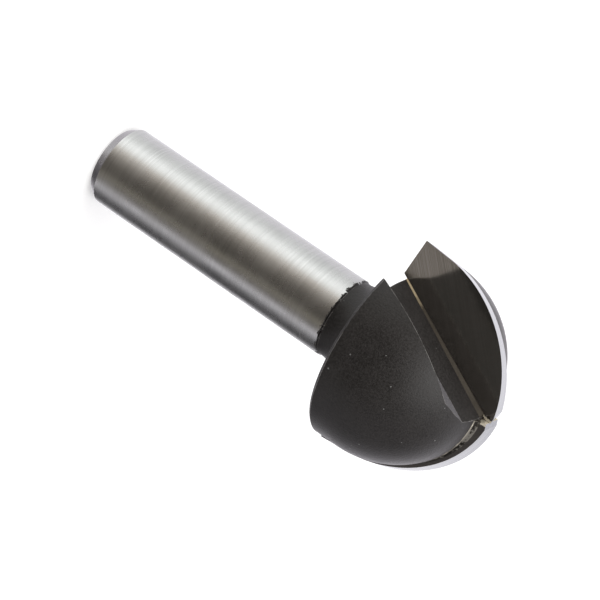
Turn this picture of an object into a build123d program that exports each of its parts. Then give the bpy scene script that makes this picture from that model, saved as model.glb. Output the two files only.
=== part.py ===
import os
from math import acos, cos, degrees, radians, sin, sqrt, tan

from build123d import *

os.makedirs("parts", exist_ok=True)

# Ball-nose router bit: one turned and milled steel body with two carbide tips brazed into it.
# Millimetres and degrees. The bit stands on its shank end, +Z runs up to the ball nose and
# +X points along the first tip. It cuts turning right-handed about +Z.

# Shank, neck and the flare into the back of the head
shank_diameter = 12.0
shank_length = 41.2          # ground part, from the end face
shank_chamfer_length = 1.3   # along the axis
shank_chamfer_depth = 0.8    # off the radius
neck_step = 0.2              # neck below the ground shank, on the radius
neck_ramp = 0.25             # the step's slope, along the axis
neck_length = 0.05           # straight neck before the flare
flare_radius = 5.0
back_slope = 7.0             # back face of the head leans forward by this

# Cutting circle
cutting_diameter = 32.0
side_edge_length = 5.0       # straight cutting edge behind the ball

# Steel head, inside the cutting circle
side_stand_out = 1.25        # cutting circle beyond the steel at the side
nose_stand_out = 1.75        # and at the nose
head_barrel_length = 3.8     # rim to the centre of the steel ball
rim_chamfer = 0.35

# Carbide tips, drawn on the rake face
shear_angle = 11.3           # lean of the rake face along the bit
face_offset = 2.0            # rake face behind the ball centre, square to the face
tip_thickness = 2.7
tip_width = 6.3              # along the back edge
side_land_drop = 1.5         # fall of the land across the thickness, at the side
middle_land_drop = 1.6       # half-way round to the nose
nose_land_drop = 0.85        # and at the nose
root_drop = 1.25             # inner back corner, behind the outer back corner
nose_flat = 1.3              # end face of the tip beside the axis
nose_gap = 0.05              # each end face to the middle plane
nose_break_width = 1.0       # cutting edge broken beside the axis
nose_break_drop = 0.2

# Braze under and beside each tip
braze_gap = 0.1
root_bead = 0.05             # bead in the flute's corner, over the tip, at its root
root_bead_rise = 0.15        # and up the flute's floor
nose_bead = 0.3              # the same at the tip's nose
nose_bead_rise = 0.65
back_bead = 0.6              # fillet behind the tip at the nose, up its back face
back_bead_run = 0.5          # and along the steel
back_bead_shift = 1.5        # fillet's circle struck ahead of the steel's, so that it fades out

# Flute section, square to the tip's inner edge
floor_height = 4.2           # first flat, square to the rake face
floor_turn = 31.0            # second flat leans outwards by this
floor_break = 7.9            # height where the wall starts
wall_turn = 57.0             # wall leans outwards by this
wall_length = 16.0           # carries the cutter out past the head

# Heights that follow from the sizes above
shank_radius = shank_diameter / 2
neck_radius = shank_radius - neck_step
cutting_radius = cutting_diameter / 2
head_radius = cutting_radius - side_stand_out
neck_height = shank_length + neck_ramp
flare_height = neck_height + neck_length
flare_run = flare_radius * tan(radians(90 - back_slope) / 2)
rim_height = flare_height + flare_run + (head_radius - neck_radius) * tan(radians(back_slope))
head_centre_height = rim_height + head_barrel_length
ball_centre_height = head_centre_height + nose_stand_out - side_stand_out

# Rake face of the first tip: its plane's x runs outwards, y up the bit, z into the carbide
into_tip = Vector(0, -cos(radians(shear_angle)), sin(radians(shear_angle)))
ball_centre = Vector(0, 0, ball_centre_height)
rake_plane = Plane(origin=ball_centre + into_tip * face_offset, x_dir=(1, 0, 0), z_dir=into_tip)

# The cutting edge is the rake face's cut through the ball and the cylinder behind it
edge_radius = sqrt(cutting_radius**2 - face_offset**2)
corner_point = rake_plane.from_local_coords(Vector(0, -side_edge_length, 0))
corner_width = sqrt(cutting_radius**2 - corner_point.Y**2)

# Inner edge of the tip, from its back corner up to the nose
tip_root = Vector(corner_width - tip_width, -side_edge_length - root_drop)
tip_nose = Vector(nose_gap, edge_radius - nose_flat)
inner_edge = tip_nose - tip_root
inner_edge_dir = (
    rake_plane.x_dir * inner_edge.X + rake_plane.y_dir * inner_edge.Y
).normalized()

# Flute section plane: x runs outwards along the rake face, y rises square out of it
flute_plane = Plane(
    origin=rake_plane.from_local_coords(tip_root),
    x_dir=inner_edge_dir.cross(into_tip),
    z_dir=inner_edge_dir,
)
seat_depth = tip_thickness + braze_gap
cutter_reach = 2 * cutting_diameter


def angle_at(width, radius):
    """Degrees round from the side to where an arc comes this near to the middle plane."""
    return degrees(acos(width / radius))


# Turned blank: shank, neck, flare, conical back face, barrel and ball
with BuildPart() as blank:
    with BuildSketch(Plane.XZ):
        with BuildLine():
            Polyline(
                (0, 0),
                (shank_radius - shank_chamfer_depth, 0),
                (shank_radius, shank_chamfer_length),
                (shank_radius, shank_length),
                (neck_radius, neck_height),
                (neck_radius, flare_height),
            )
            flare = CenterArc(
                (neck_radius + flare_radius, flare_height), flare_radius, 180, back_slope - 90
            )
            Polyline(flare @ 1, (head_radius, rim_height), (head_radius, head_centre_height))
            CenterArc((0, head_centre_height), head_radius, 0, 90)
            Line((0, head_centre_height + head_radius), (0, 0))
        make_face()
    revolve(axis=Axis.Z)
    rim = blank.edges().filter_by_position(Axis.Z, rim_height - 0.01, rim_height + 0.01)
    chamfer(rim, rim_chamfer)

# Milling cut that leaves one flute and the open seat of its tip
with BuildPart() as flute_cutter:
    with BuildSketch(flute_plane):
        break_width = (floor_break - floor_height) * tan(radians(floor_turn)) - braze_gap
        wall_top = (
            break_width + wall_length * sin(radians(wall_turn)),
            floor_break + wall_length * cos(radians(wall_turn)),
        )
        with BuildLine():
            Polyline(
                (-braze_gap, -seat_depth),
                (-braze_gap, floor_height),
                (break_width, floor_break),
                wall_top,
                (cutter_reach, wall_top[1]),
                (cutter_reach, -seat_depth),
                close=True,
            )
        make_face()
    extrude(amount=cutter_reach, both=True)

with BuildPart() as body:
    add(blank.part)
    with PolarLocations(0, 2):
        add(flute_cutter.part, mode=Mode.SUBTRACT)
body.part.label = "body"

# Carbide plate, from its rake face to its smaller back face, so that the land falls away
# behind the cutting edge, less at the nose than at the side
with BuildPart() as carbide_tip:
    back_drops = (side_land_drop, middle_land_drop, nose_land_drop)
    for depth, drops in ((0, (0, 0, 0)), (tip_thickness, back_drops)):
        side_radius, middle_radius, nose_radius = (edge_radius - drop for drop in drops)
        with BuildSketch(rake_plane.offset(depth)):
            with BuildLine():
                land = ThreePointArc(
                    (side_radius, 0),
                    Vector(middle_radius, 0).rotate(Axis.Z, 45),
                    (nose_break_width, sqrt(nose_radius**2 - nose_break_width**2)),
                )
                Polyline(
                    land @ 1,
                    (nose_gap, nose_radius - nose_break_drop),
                    tip_nose,
                    tip_root,
                    (corner_width - drops[0], -side_edge_length),
                    land @ 0,
                )
            make_face()
    loft(ruled=True)

# Bead in the flute's corner, growing from the tip's root to its nose
with BuildPart() as flute_bead:
    bead_ends = ((0, root_bead, root_bead_rise), (inner_edge.length, nose_bead, nose_bead_rise))
    for place, run, rise in bead_ends:
        with BuildSketch(flute_plane.offset(place)):
            with BuildLine():
                Polyline((-braze_gap, 0), (-braze_gap, rise), (run, 0), close=True)
            make_face()
    loft()

# Fillet behind the tip, in the corner between its back face and the steel ball
with BuildPart() as back_fillet:
    steel_centre = rake_plane.to_local_coords(Vector(0, 0, head_centre_height))
    for depth, rise in ((tip_thickness, back_bead), (seat_depth + back_bead_run, 0)):
        steel_radius = sqrt(head_radius**2 - (depth - steel_centre.Z) ** 2)
        arc_radius = steel_radius + rise - back_bead_shift
        arc_centre = (0, steel_centre.Y + back_bead_shift)
        with BuildSketch(rake_plane.offset(depth)):
            with BuildLine():
                round_side = CenterArc(arc_centre, arc_radius, 0, angle_at(nose_gap, arc_radius))
                Polyline(round_side @ 1, (nose_gap, 0), (arc_radius, 0), round_side @ 0)
            make_face()
    loft(ruled=True)
    add(body.part, mode=Mode.SUBTRACT)

# Braze film behind and beside the tip, trimmed flush with the steel, with its bead and fillet
with BuildPart() as braze_seam:
    with BuildSketch(flute_plane):
        with BuildLine():
            Polyline(
                (-braze_gap, -seat_depth),
                (-braze_gap, 0),
                (0, 0),
                (0, -tip_thickness),
                (cutter_reach, -tip_thickness),
                (cutter_reach, -seat_depth),
                close=True,
            )
        make_face()
    extrude(amount=cutter_reach, both=True)
    add(flute_bead.part)
    add(blank.part, mode=Mode.INTERSECT)
    add(back_fillet.part)

export_step(body.part, "parts/body.step")
for number, turn in ((1, 0), (2, 180)):
    for piece, name in ((carbide_tip, "carbide_tip"), (braze_seam, "braze_seam")):
        placed = piece.part.rotate(Axis.Z, turn)
        placed.label = f"{name}_{number}"
        export_step(placed, f"parts/{placed.label}.step")

print("overall length", round(ball_centre_height + cutting_radius, 2))
print("body volume", round(body.part.volume, 1), "tip volume", round(carbide_tip.part.volume, 1))
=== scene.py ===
from math import pi, radians

import bpy
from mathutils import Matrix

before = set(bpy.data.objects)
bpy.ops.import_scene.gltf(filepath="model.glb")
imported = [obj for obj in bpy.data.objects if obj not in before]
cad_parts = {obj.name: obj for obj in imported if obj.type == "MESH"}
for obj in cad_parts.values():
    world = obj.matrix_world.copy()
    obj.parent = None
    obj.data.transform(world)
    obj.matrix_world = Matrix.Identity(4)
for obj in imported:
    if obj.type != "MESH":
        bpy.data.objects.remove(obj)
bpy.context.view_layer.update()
bpy.ops.object.select_all(action="DESELECT")
print("frame loaded:", ", ".join(sorted(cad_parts)))

# camera: looks down the flute of the first tip, rolled so that the shank lies to the upper left
cameraPlace = {
    "spot": (0.20527, 0.33011, 0.17526),   # m
    "turn": (-57.426, -50.802, -58.407),   # degrees about X, Y and Z
    "lens": 180.87,                        # mm, on the sensor below
    "sensor": 36,
    "nearest": 0.01,                       # nothing nearer than this is seen, m
}
bpy.ops.object.camera_add(
    location=cameraPlace["spot"],
    rotation=[radians(angle) for angle in cameraPlace["turn"]],
)
camera = bpy.context.object
camera.name = "benchCamera"
camera.data.lens = cameraPlace["lens"]
camera.data.sensor_width = cameraPlace["sensor"]
camera.data.clip_start = cameraPlace["nearest"]
bpy.context.scene.camera = camera
bpy.context.scene.view_settings.view_transform = "Standard"
print("camera set")


# small helpers for node trees

def newTree(owner):
    owner.use_nodes = True
    owner.node_tree.nodes.clear()
    return owner.node_tree


def addNode(tree, kind, inputs=None, **settings):
    # one node with its settings, and its inputs set or linked by name or number
    node = tree.nodes.new(kind)
    for name, value in settings.items():
        setattr(node, name, value)
    for key, value in (inputs or {}).items():
        socket = node.inputs[key]
        if isinstance(value, bpy.types.NodeSocket):
            tree.links.new(value, socket)
        else:
            socket.default_value = value
    return node


def calculate(tree, operation, *values):
    # one Math node with up to three numbers or sockets
    return addNode(tree, "ShaderNodeMath", dict(enumerate(values)), operation=operation).outputs[0]


def opposite(tree, share):
    return calculate(tree, "SUBTRACT", 1.0, share)


def calculateVector(tree, operation, first, second):
    node = addNode(tree, "ShaderNodeVectorMath", {0: first, 1: second}, operation=operation)
    return node.outputs["Value" if operation == "DOT_PRODUCT" else "Vector"]


def splitVector(tree, vector):
    # its X, Y and Z, by name
    return addNode(tree, "ShaderNodeSeparateXYZ", {0: vector}).outputs


def joinVector(tree, *parts):
    return addNode(tree, "ShaderNodeCombineXYZ", dict(enumerate(parts))).outputs[0]


def spread(tree, value, low, high, toLow=0.0, toHigh=1.0):
    # stretches low..high to toLow..toHigh, clamped
    inputs = {0: value, 1: low, 2: high, 3: toLow, 4: toHigh}
    return addNode(tree, "ShaderNodeMapRange", inputs).outputs[0]


def blendNumbers(tree, share, first, second):
    # first where share is 0, second where it is 1
    return addNode(tree, "ShaderNodeMix", {0: share, 2: first, 3: second}).outputs[0]


def blendColours(tree, share, first, second, kind="MIX"):
    # the same for colours
    colours = [c if isinstance(c, bpy.types.NodeSocket) else (*c, 1.0) for c in (first, second)]
    inputs = {0: share, 6: colours[0], 7: colours[1]}
    return addNode(tree, "ShaderNodeMix", inputs, data_type="RGBA", blend_type=kind).outputs[2]


def addNoise(tree, vector, perMetre, detail, roughness=0.5):
    inputs = {"Vector": vector, "Scale": perMetre, "Detail": detail, "Roughness": roughness}
    return addNode(tree, "ShaderNodeTexNoise", inputs).outputs[0]


def addBump(tree, height, strength):
    inputs = {"Height": height, "Strength": strength, "Distance": effects["bumpDepth"]}
    return addNode(tree, "ShaderNodeBump", inputs).outputs[0]


def setStops(ramp, stops):
    # stops are (place, colour)
    while len(ramp.elements) < len(stops):
        ramp.elements.new(1.0)
    for element, (place, colour) in zip(ramp.elements, stops):
        element.position = place
        element.color = (*colour, 1.0)


def newGroup(name, output, settings):
    # a shader group that makes one number out of a vector and these settings
    group = bpy.data.node_groups.new(name, "ShaderNodeTree")
    group.interface.new_socket("Vector", in_out="INPUT", socket_type="NodeSocketVector")
    for label, value in settings.items():
        socket = group.interface.new_socket(label, in_out="INPUT", socket_type="NodeSocketFloat")
        socket.default_value = value
    group.interface.new_socket(output, in_out="OUTPUT", socket_type="NodeSocketFloat")
    return group, addNode(group, "NodeGroupInput").outputs


def useGroup(tree, group, vector, settings):
    inputs = {"Vector": vector, **settings}
    return addNode(tree, "ShaderNodeGroup", inputs, node_tree=group).outputs[0]


# shared effects: what is the same wherever they are used
effects = {
    "fineNoise": (2.0, 0.6),      # detail, roughness
    "coarseScale": 0.12,          # of the mottling, against the fine grain
    "coarseDetail": 3.0,
    "lineNoise": (3.0, 0.65),
    "wearSamples": 6,
    "wearTurn": (0.003, 0.03),    # how far the rounded normal turns, from no wear to full wear
    "wearBreaks": (0.38, 0.55),   # noise where the wear starts and where it is whole
    "wearDetail": 3.0,
    "hardNoise": (0.35, 0.65),    # noise from the first colour to the second
    "softNoise": (0.3, 0.7),      # the same with less contrast
    "bumpDepth": 0.0001,          # m
}


def makeGrain(values):
    # fine speckle with some coarser mottling, about 0.5 in the middle
    group, given = newGroup("fineGrain", "Grain", {"Per Metre": 4000.0, "Mottling": 0.4})
    fine = addNoise(group, given["Vector"], given["Per Metre"], *values["fineNoise"])
    coarseScale = calculate(group, "MULTIPLY", given["Per Metre"], values["coarseScale"])
    coarse = addNoise(group, given["Vector"], coarseScale, values["coarseDetail"])
    grain = blendNumbers(group, given["Mottling"], fine, coarse)
    addNode(group, "NodeGroupOutput", {0: grain})
    return group


def makeGrindLines(values):
    # scratches that run square to the X of the given vector
    group, given = newGroup("grindLines", "Lines", {"Across": 9000.0, "Along": 60.0})
    size = joinVector(group, given["Across"], given["Along"], given["Along"])
    stretched = calculateVector(group, "MULTIPLY", given["Vector"], size)
    lines = addNoise(group, stretched, 1.0, *values["lineNoise"])
    addNode(group, "NodeGroupOutput", {0: lines})
    return group


def makeEdgeWear(values):
    # 1 on sharp outer edges, broken up by noise
    group, given = newGroup("edgeWear", "Worn", {"Width": 0.0001, "Breaks Per Metre": 700.0})
    rounded = addNode(
        group, "ShaderNodeBevel", {"Radius": given["Width"]}, samples=values["wearSamples"]
    ).outputs[0]
    flat = addNode(group, "ShaderNodeNewGeometry").outputs["True Normal"]
    turn = opposite(group, calculateVector(group, "DOT_PRODUCT", rounded, flat))
    sharp = spread(group, turn, *values["wearTurn"])
    breaks = addNoise(group, given["Vector"], given["Breaks Per Metre"], values["wearDetail"])
    whole = spread(group, breaks, *values["wearBreaks"])
    addNode(group, "NodeGroupOutput", {0: calculate(group, "MULTIPLY", sharp, whole)})
    return group


def makeDust():
    # sparse light specks
    settings = {"Cells Per Metre": 500.0, "Share": 0.1, "Size": 0.12}
    group, given = newGroup("dustSpecks", "Speck", settings)
    cells = addNode(group, "ShaderNodeTexVoronoi", {
        "Vector": given["Vector"], "Scale": given["Cells Per Metre"],
    })
    chance = addNode(group, "ShaderNodeSeparateColor", {0: cells.outputs["Color"]}).outputs[0]
    chosen = calculate(group, "LESS_THAN", chance, given["Share"])
    part = calculate(group, "DIVIDE", chance, given["Share"])
    size = calculate(group, "MULTIPLY", part, given["Size"])
    inside = calculate(group, "LESS_THAN", cells.outputs["Distance"], size)
    addNode(group, "NodeGroupOutput", {0: calculate(group, "MULTIPLY", chosen, inside)})
    return group


fineGrain = makeGrain(effects)
grindLines = makeGrindLines(effects)
edgeWear = makeEdgeWear(effects)
dustSpecks = makeDust()
print("shared effects made")


# studio: the wall's brightness and tint by compass angle, degrees from +X
studioWall = {
    "stops": (
        (-180, 0.07, "cool"),
        (-167, 0.05, "cool"),
        (-152, 0.68, "cool"),
        (-142, 1.35, "cool"),
        (-128, 1.25, "cool"),
        (-108, 1.36, "cool"),
        (-92, 1.04, "cool"),
        (-60, 0.93, "cool"),
        (-40, 0.88, "plain"),
        (-22, 1.10, "plain"),
        (-6, 1.62, "plain"),
        (8, 1.50, "plain"),
        (25, 0.76, "warm"),
        (42, 0.29, "warm"),
        (62, 0.13, "warm"),
        (86, 0.075, "warm"),
        (99, 0.12, "warm"),
        (106, 0.42, "straw"),
        (113, 0.13, "warm"),
        (124, 0.15, "warm"),
        (141, 0.95, "cool"),
        (151, 0.46, "cool"),
        (163, 0.11, "cool"),
        (180, 0.07, "cool"),
    ),
    "tints": {
        "warm": (1.0, 0.9, 0.79),
        "straw": (1.0, 0.93, 0.74),
        "plain": (0.98, 1.0, 0.99),
        "cool": (1.0, 0.98, 1.03),
    },
}


def makeWorld(values):
    world = bpy.data.worlds.new("studio")
    bpy.context.scene.world = world
    tree = newTree(world)
    parts = splitVector(tree, addNode(tree, "ShaderNodeTexCoord").outputs["Generated"])
    angle = calculate(tree, "ARCTAN2", parts["Y"], parts["X"])
    turn = calculate(tree, "MULTIPLY_ADD", angle, 0.5 / pi, 0.5)   # one turn is 0..1
    wall = addNode(tree, "ShaderNodeValToRGB", {0: turn})
    wall.color_ramp.interpolation = "EASE"
    setStops(wall.color_ramp, [
        (0.5 + degrees / 360, [level * part for part in values["tints"][tint]])
        for degrees, level, tint in values["stops"]
    ])
    seen = addNode(tree, "ShaderNodeLightPath").outputs["Is Camera Ray"]
    shown = blendColours(tree, seen, wall.outputs[0], (1.0, 1.0, 1.0))
    light = addNode(tree, "ShaderNodeBackground", {0: shown, 1: 1.0})
    addNode(tree, "ShaderNodeOutputWorld", {0: light.outputs[0]})


makeWorld(studioWall)

# lamps: a large soft one overhead
lamps = {
    "softbox": {"spot": (0.20, 0.27, 0.82), "turn": (-18.7, 14.6, 0), "size": 0.8, "watts": 5.6},
}
for name, values in lamps.items():
    turn = [radians(angle) for angle in values["turn"]]
    bpy.ops.object.light_add(type="AREA", location=values["spot"], rotation=turn)
    lamp = bpy.context.object
    lamp.name = name
    lamp.data.shape = "DISK"
    lamp.data.size = values["size"]
    lamp.data.energy = values["watts"]
print("light set")

# floor: white paper that keeps the shadow
paperFloor = {
    "side": 8.0,                     # m
    "height": -0.00002,              # just under the shank's end face, m
    "colour": (0.62, 0.62, 0.62),
    "lift": 0.5,                     # glow towards the camera, which brings the paper up to white
}


def makeFloor(values):
    bpy.ops.mesh.primitive_plane_add(size=values["side"], location=(0, 0, values["height"]))
    floor = bpy.context.object
    floor.name = "paperFloor"
    floor.visible_glossy = False   # the wall shows in the steel instead
    paper = bpy.data.materials.new("whitePaper")
    tree = newTree(paper)
    matt = addNode(tree, "ShaderNodeBsdfDiffuse", {0: (*values["colour"], 1.0)})
    seen = addNode(tree, "ShaderNodeLightPath").outputs["Is Camera Ray"]
    strength = calculate(tree, "MULTIPLY", seen, values["lift"])
    glow = addNode(tree, "ShaderNodeEmission", {0: (1, 1, 1, 1), 1: strength})
    both = addNode(tree, "ShaderNodeAddShader", {0: matt.outputs[0], 1: glow.outputs[0]})
    addNode(tree, "ShaderNodeOutputMaterial", {0: both.outputs[0]})
    floor.data.materials.append(paper)


makeFloor(paperFloor)
print("floor set")


def newMaterial(name):
    # a material, its tree, the place of the point that is shaded and that place's X, Y and Z
    material = bpy.data.materials.new(name)
    tree = newTree(material)
    place = addNode(tree, "ShaderNodeTexCoord").outputs["Object"]
    return material, tree, place, splitVector(tree, place)


def giveMaterial(material, shader, *nodes):
    # ends the material and puts it in every slot of these CAD nodes
    addNode(material.node_tree, "ShaderNodeOutputMaterial", {0: shader})
    for node in nodes:
        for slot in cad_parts[node].material_slots:
            slot.material = material


# body: bright ground shank, black finish from the neck up
bodyFinish = {
    "blackFrom": 0.0398,                          # height where the black starts, m
    "ragged": 0.0028,                             # how far its edge wanders, m
    "border": (850.0, 6.0, 0.7),                  # that edge's noise: per metre, detail, roughness
    "rings": {"Across": 9000.0, "Along": 60.0},   # grinding lines per metre
    "smears": (260.0, 4.0),                       # noise: per metre, detail
    "toneShares": (0.7, 0.3),                     # of the rings and the smears
    "steelDark": (0.55, 0.55, 0.545),
    "steelLight": (0.67, 0.67, 0.665),
    "steelRoughness": (0.23, 0.31),
    "steelAnisotropy": 0.72,
    "steelBump": 0.08,
    "chamferBelow": 0.0013,                        # the end chamfer, below this height, is tinted darker, m
    "chamferTint": (0.66, 0.64, 0.66),
    "grain": {"Per Metre": 3600.0, "Mottling": 0.2},
    "blackDeep": (0.010, 0.0085, 0.0075),
    "blackPale": (0.026, 0.023, 0.0215),
    "blackRoughness": (0.42, 0.62),
    "blackSpecular": 0.4,
    "blackBump": 0.45,
    "sheen": 0.37,
    "sheenRoughness": 0.36,
    "sheenTint": (0.96, 0.93, 1.0),
    "wear": {"Width": 0.00012, "Breaks Per Metre": 600.0},
    "wornSteel": (0.22, 0.21, 0.20),
    "specks": {"Cells Per Metre": 900.0, "Share": 0.28, "Size": 0.12},
    "dust": (0.18, 0.18, 0.175),
}


def groundSteel(tree, place, parts, values):
    aroundShank = joinVector(tree, parts["Z"], parts["X"], parts["Y"])
    lines = useGroup(tree, grindLines, aroundShank, values["rings"])
    smears = addNoise(tree, place, *values["smears"])
    lineShare, smearShare = values["toneShares"]
    smeared = calculate(tree, "MULTIPLY", smears, smearShare)
    tone = calculate(tree, "MULTIPLY_ADD", lines, lineShare, smeared)
    tone = spread(tree, tone, *effects["hardNoise"])
    colour = blendColours(tree, tone, values["steelDark"], values["steelLight"])
    # the end chamfer's colour is tinted darker
    onChamfer = calculate(tree, "LESS_THAN", parts["Z"], values["chamferBelow"])
    darkerChamfer = blendColours(tree, 1.0, colour, values["chamferTint"], "MULTIPLY")
    colour = blendColours(tree, onChamfer, colour, darkerChamfer)
    around = addNode(tree, "ShaderNodeTangent", direction_type="RADIAL", axis="Z").outputs[0]
    return addNode(tree, "ShaderNodeBsdfPrincipled", {
        "Base Color": colour,
        "Metallic": 1.0,
        "Roughness": spread(tree, smears, *effects["softNoise"], *values["steelRoughness"]),
        "Anisotropic": values["steelAnisotropy"],
        "Tangent": around,
        "Normal": addBump(tree, lines, values["steelBump"]),
    }).outputs[0]


def blackFinish(tree, place, values):
    grain = useGroup(tree, fineGrain, place, values["grain"])
    worn = useGroup(tree, edgeWear, place, values["wear"])
    speck = useGroup(tree, dustSpecks, place, values["specks"])
    tone = spread(tree, grain, *effects["hardNoise"])
    colour = blendColours(tree, tone, values["blackDeep"], values["blackPale"])
    colour = blendColours(tree, worn, colour, values["wornSteel"])
    colour = blendColours(tree, speck, colour, values["dust"])
    return addNode(tree, "ShaderNodeBsdfPrincipled", {
        "Base Color": colour,
        "Metallic": 0.0,
        "Roughness": spread(tree, grain, *effects["softNoise"], *values["blackRoughness"]),
        "Normal": addBump(tree, grain, values["blackBump"]),
        "Specular IOR Level": values["blackSpecular"],
        "Sheen Weight": values["sheen"],
        "Sheen Roughness": values["sheenRoughness"],
        "Sheen Tint": (*values["sheenTint"], 1.0),
    }).outputs[0]


def makeBody(values):
    material, tree, place, parts = newMaterial("groundAndBlackSteel")
    wander = addNoise(tree, place, *values["border"])
    start = calculate(tree, "MULTIPLY_ADD", wander, values["ragged"], values["blackFrom"])
    isBlack = calculate(tree, "GREATER_THAN", parts["Z"], start)
    steel = groundSteel(tree, place, parts, values)
    black = blackFinish(tree, place, values)
    mix = addNode(tree, "ShaderNodeMixShader", {0: isBlack, 1: steel, 2: black})
    giveMaterial(material, mix.outputs[0], "body")


makeBody(bodyFinish)
print("body finished")


rakeNormal = (0.0, 0.9806, -0.1959)   # out of the first tip's rake face


def readAsFirst(tree, vector, parts):
    # turns the second tip's side by half a turn, so that one pattern serves both
    side = calculate(tree, "SIGN", parts["X"])
    return calculateVector(tree, "MULTIPLY", vector, joinVector(tree, side, side, 1.0))


# carbide tips: finely ground rake face and land, dull back face, and braze at the nose painted pale
# as a glint
tipFinish = {
    "acrossRake": (0.642, 0.149, 0.745),          # square to the grinding lines on it
    "lines": {"Across": 5500.0, "Along": 25.0},   # per metre
    "ground": (0.56, 0.53, 0.485),
    "groundPale": (0.64, 0.61, 0.565),
    "rakeRoughness": 0.13,
    "landBelow": -0.2,                            # a face's normal along the rake's, on the land
    "land": (0.305, 0.312, 0.322),
    "landPale": (0.357, 0.364, 0.375),
    "landRoughness": 0.22,
    "lineRoughness": 0.06,                        # difference that the lines make
    "lineBump": 0.06,
    "backBelow": -0.8,                            # the same normal, on the back face
    "grain": {"Per Metre": 5000.0, "Mottling": 0.4},
    "dull": (0.10, 0.094, 0.09),
    "dullPale": (0.15, 0.141, 0.135),
    "dullRoughness": 0.5,
    "wear": {"Width": 0.00006, "Breaks Per Metre": 900.0},
    "nick": (0.75, 0.74, 0.72),
    "brazeWithin": 0.0009,                        # braze has run over the inner faces, this near
    "brazeAbove": 0.0656,                         # to the axis and above this height, m
    # real braze over the inner corner, painted pale as a glint
    "paleBrazeGlint": (0.80, 0.74, 0.60),
    "brazeGlintMetal": -0.6,                           # how much less metallic it is
}


def makeTips(values):
    material, tree, place, parts = newMaterial("groundCarbide")
    asFirst = readAsFirst(tree, place, parts)
    trueNormal = addNode(tree, "ShaderNodeNewGeometry").outputs["True Normal"]
    normal = readAsFirst(tree, trueNormal, parts)
    facing = calculateVector(tree, "DOT_PRODUCT", normal, rakeNormal)
    isBack = calculate(tree, "LESS_THAN", facing, values["backBelow"])
    notRake = calculate(tree, "LESS_THAN", facing, values["landBelow"])
    notBack = calculate(tree, "GREATER_THAN", facing, values["backBelow"])
    isLand = calculate(tree, "MULTIPLY", notRake, notBack)

    # lines that run their own way on the rake face and on the land
    across = calculateVector(tree, "DOT_PRODUCT", asFirst, values["acrossRake"])
    behind = calculateVector(tree, "DOT_PRODUCT", asFirst, rakeNormal)
    ground = blendNumbers(tree, isLand, across, behind)
    vector = joinVector(tree, ground, parts["X"], parts["Z"])
    lines = useGroup(tree, grindLines, vector, values["lines"])
    grain = useGroup(tree, fineGrain, place, values["grain"])
    worn = useGroup(tree, edgeWear, place, values["wear"])

    scratch = spread(tree, lines, *effects["hardNoise"])
    colour = blendColours(tree, scratch, values["ground"], values["groundPale"])
    land = blendColours(tree, scratch, values["land"], values["landPale"])
    colour = blendColours(tree, isLand, colour, land)
    tone = spread(tree, grain, *effects["softNoise"])
    dull = blendColours(tree, tone, values["dull"], values["dullPale"])
    colour = blendColours(tree, isBack, colour, dull)
    colour = blendColours(tree, worn, colour, values["nick"])

    # braze over the inner faces at the nose, painted pale as a glint on the corner
    brazeEdge = calculate(tree, "MULTIPLY", grain, values["brazeWithin"])
    isNear = calculate(tree, "LESS_THAN", splitVector(tree, asFirst)["X"], brazeEdge)
    isHigh = calculate(tree, "GREATER_THAN", parts["Z"], values["brazeAbove"])
    brazeAndGlint = calculate(tree, "MULTIPLY", isNear, isHigh)
    brazeAndGlint = calculate(tree, "MULTIPLY", brazeAndGlint, opposite(tree, isLand))
    colour = blendColours(tree, brazeAndGlint, colour, values["paleBrazeGlint"])

    isDull = calculate(tree, "MAXIMUM", isBack, brazeAndGlint)
    roughness = blendNumbers(tree, isLand, values["rakeRoughness"], values["landRoughness"])
    roughness = blendNumbers(tree, isDull, roughness, values["dullRoughness"])
    roughness = calculate(tree, "SUBTRACT", roughness, values["lineRoughness"] / 2)
    tip = addNode(tree, "ShaderNodeBsdfPrincipled", {
        "Base Color": colour,
        "Metallic": calculate(tree, "MULTIPLY_ADD", brazeAndGlint, values["brazeGlintMetal"], 1.0),
        "Roughness": calculate(tree, "MULTIPLY_ADD", lines, values["lineRoughness"], roughness),
        "Normal": addBump(tree, lines, values["lineBump"]),
    })
    giveMaterial(material, tip.outputs[0], "carbide_tip_1", "carbide_tip_2")


makeTips(tipFinish)
print("tips finished")
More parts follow.
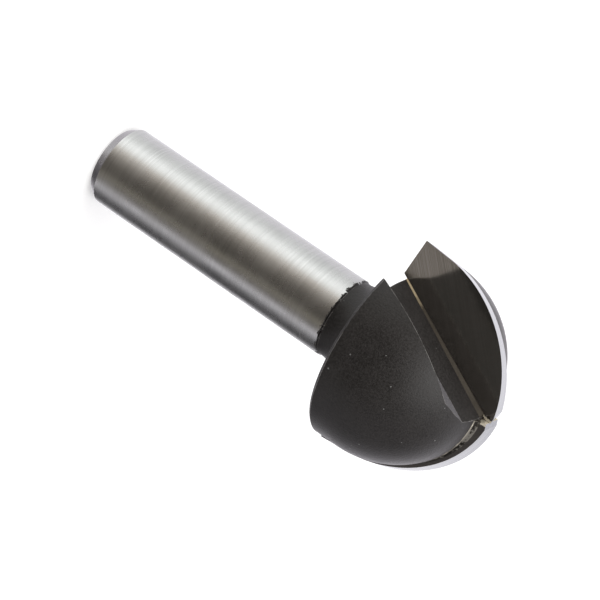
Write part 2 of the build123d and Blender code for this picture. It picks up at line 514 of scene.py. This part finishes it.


# braze: bright gold at the tip's root, stained grey-brown towards the nose, and gold again at the
# very top as a painted glint
brazeFinish = {
    "grain": {"Per Metre": 2600.0, "Mottling": 0.6},
    "gold": (0.66, 0.56, 0.38),
    "stained": (0.078, 0.069, 0.058),
    "stainFrom": 0.0495,                   # height where the gold gives way to stain, m
    "glintFrom": 0.0668,                     # and where the gold shows again, as a painted glint
    "fade": 0.002,                         # over this height
    "backFace": -0.0147,                   # depth of the tip's back face, with the fillet behind it
    "scale": (0.05, 0.046, 0.042),
    "scaleGrain": (0.44, 0.62),            # grain from none of it to all of it
    "fluteClean": 0.8,                     # share of the scale that is missing in the flute
    "smear": (0.24, 0.225, 0.20),
    "smearGrain": (0.54, 0.48),
    "rim": (0.80, 0.74, 0.62),             # bare edge of the fillet
    "rimGrain": (0.35, 0.6),
    "rimDepths": (0.0001, 0.0004),         # behind the back face, from no rim to all of it, m
    "wear": {"Width": 0.00022, "Breaks Per Metre": 350.0},
    "patchMetal": -0.6,                    # how much less metallic smears and rim are
    "roughness": (0.3, 0.48),
    "bump": 0.5,
}


def makeBraze(values):
    material, tree, place, parts = newMaterial("flowedBraze")
    grain = useGroup(tree, fineGrain, place, values["grain"])
    wander = calculate(tree, "MULTIPLY_ADD", grain, values["fade"], parts["Z"])
    # stain between the two heights; above the second one the gold shows again as a painted glint
    started, glintShown = (
        spread(tree, wander, values[height], values[height] + values["fade"])
        for height in ("stainFrom", "glintFrom")
    )
    stain = calculate(tree, "SUBTRACT", started, glintShown)
    colour = blendColours(tree, stain, values["gold"], values["stained"])

    # patches, more of them on the fillet behind the tip
    depth = calculateVector(tree, "DOT_PRODUCT", readAsFirst(tree, place, parts), rakeNormal)
    inFlute = calculate(tree, "GREATER_THAN", depth, values["backFace"])
    patchy = opposite(tree, calculate(tree, "MULTIPLY", inFlute, values["fluteClean"]))
    scale = calculate(tree, "MULTIPLY", spread(tree, grain, *values["scaleGrain"]), patchy)
    colour = blendColours(tree, scale, colour, values["scale"])
    smeared = spread(tree, grain, *values["smearGrain"])
    smear = calculate(tree, "MULTIPLY", smeared, opposite(tree, inFlute))
    colour = blendColours(tree, smear, colour, values["smear"])

    # bare rim along the fillet's outer edge
    edges = useGroup(tree, edgeWear, place, values["wear"])
    outer = spread(tree, depth, *(values["backFace"] - behind for behind in values["rimDepths"]))
    rim = calculate(tree, "MULTIPLY", edges, outer)
    rim = calculate(tree, "MULTIPLY", rim, spread(tree, grain, *values["rimGrain"]))
    colour = blendColours(tree, rim, colour, values["rim"])

    patches = calculate(tree, "MAXIMUM", rim, smear)
    seam = addNode(tree, "ShaderNodeBsdfPrincipled", {
        "Base Color": colour,
        "Metallic": calculate(tree, "MULTIPLY_ADD", patches, values["patchMetal"], 1.0),
        "Roughness": spread(tree, grain, *effects["softNoise"], *values["roughness"]),
        "Normal": addBump(tree, grain, values["bump"]),
    })
    giveMaterial(material, seam.outputs[0], "braze_seam_1", "braze_seam_2")


makeBraze(brazeFinish)
print("braze finished")
